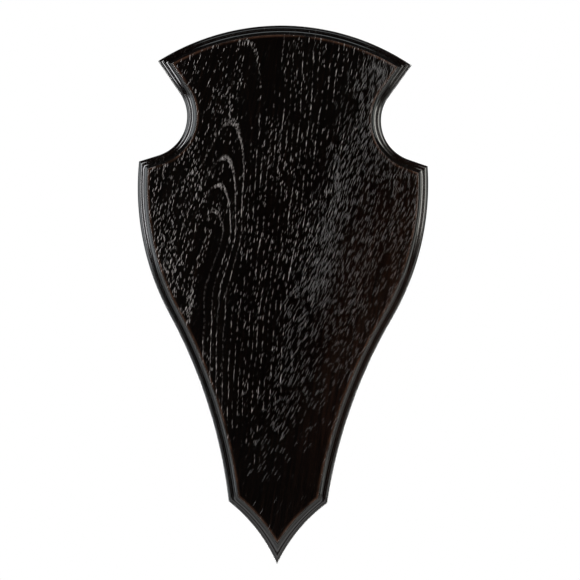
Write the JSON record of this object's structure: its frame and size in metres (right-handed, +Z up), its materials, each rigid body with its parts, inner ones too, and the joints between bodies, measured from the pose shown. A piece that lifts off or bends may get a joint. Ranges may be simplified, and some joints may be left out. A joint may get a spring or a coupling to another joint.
{
  "type": "wooden plaque",
  "caption": "Pointed shield-shaped dark oak wall plaque with a moulded edge, a round notch in each side and a recessed strap hanger with a swinging D-ring in its back.",
  "frame": {"origin": "on the wall plane, which is the outer faces of the felt pads, at the middle of the board's height and width", "axes": "+Z up along the board's length with the point at the bottom, +Y towards the wall through the board's thickness, and the moulded face looks along -Y with +X to its right"},
  "size_m": [0.151, 0.0183, 0.28],
  "materials": {
    "stained_oak": "dark stained open-pored oak under satin lacquer",
    "zinc_plated_steel": "bright zinc plate",
    "screw_steel": "yellow zinc plate",
    "felt": "dense pressed wool felt"
  },
  "bodies": {
    "plaque": {"board": "stained_oak", "hanger_strap": "zinc_plated_steel", "hanger_screw_upper": "screw_steel", "hanger_screw_lower": "screw_steel", "wall_pad_left": "felt", "wall_pad_right": "felt", "wall_pad_lower": "felt"},
    "ring": {"hanger_ring": "zinc_plated_steel"}
  },
  "joints": [
    {"name": "ring_swing", "type": "hinge", "parent": "plaque", "child": "ring", "pos_m": [0, -0.00525, 0.075], "axis": [1, 0, 0], "range_deg": [0, 180]}
  ]
}
